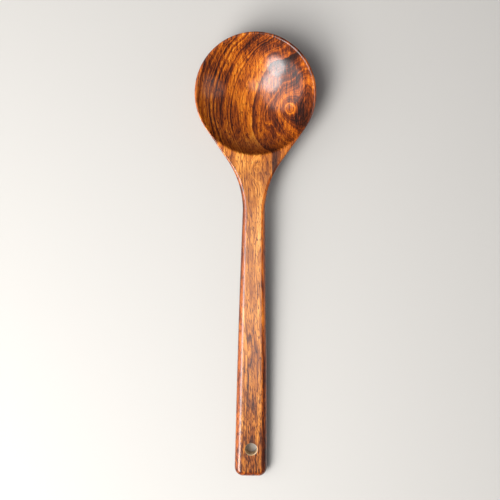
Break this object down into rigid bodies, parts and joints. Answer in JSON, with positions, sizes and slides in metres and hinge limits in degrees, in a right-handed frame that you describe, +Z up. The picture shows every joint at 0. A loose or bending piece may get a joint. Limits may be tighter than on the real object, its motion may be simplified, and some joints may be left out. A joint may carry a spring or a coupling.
{
  "type": "wooden ladle",
  "caption": "Wooden cooking ladle with a round scooped bowl, a short flare and a long flat handle that widens to a squared end with a hanging hole.",
  "frame": {"origin": "centre of the footprint box, on the table that the ladle rests on", "axes": "+Z up, +Y from the handle's end to the bowl, +X across the ladle"},
  "size_m": [0.092, 0.3392, 0.0302],
  "materials": {
    "wood": "clear gloss lacquer over close-grained wood"
  },
  "bodies": {
    "root": {"spoon": "wood"}
  },
  "joints": []
}
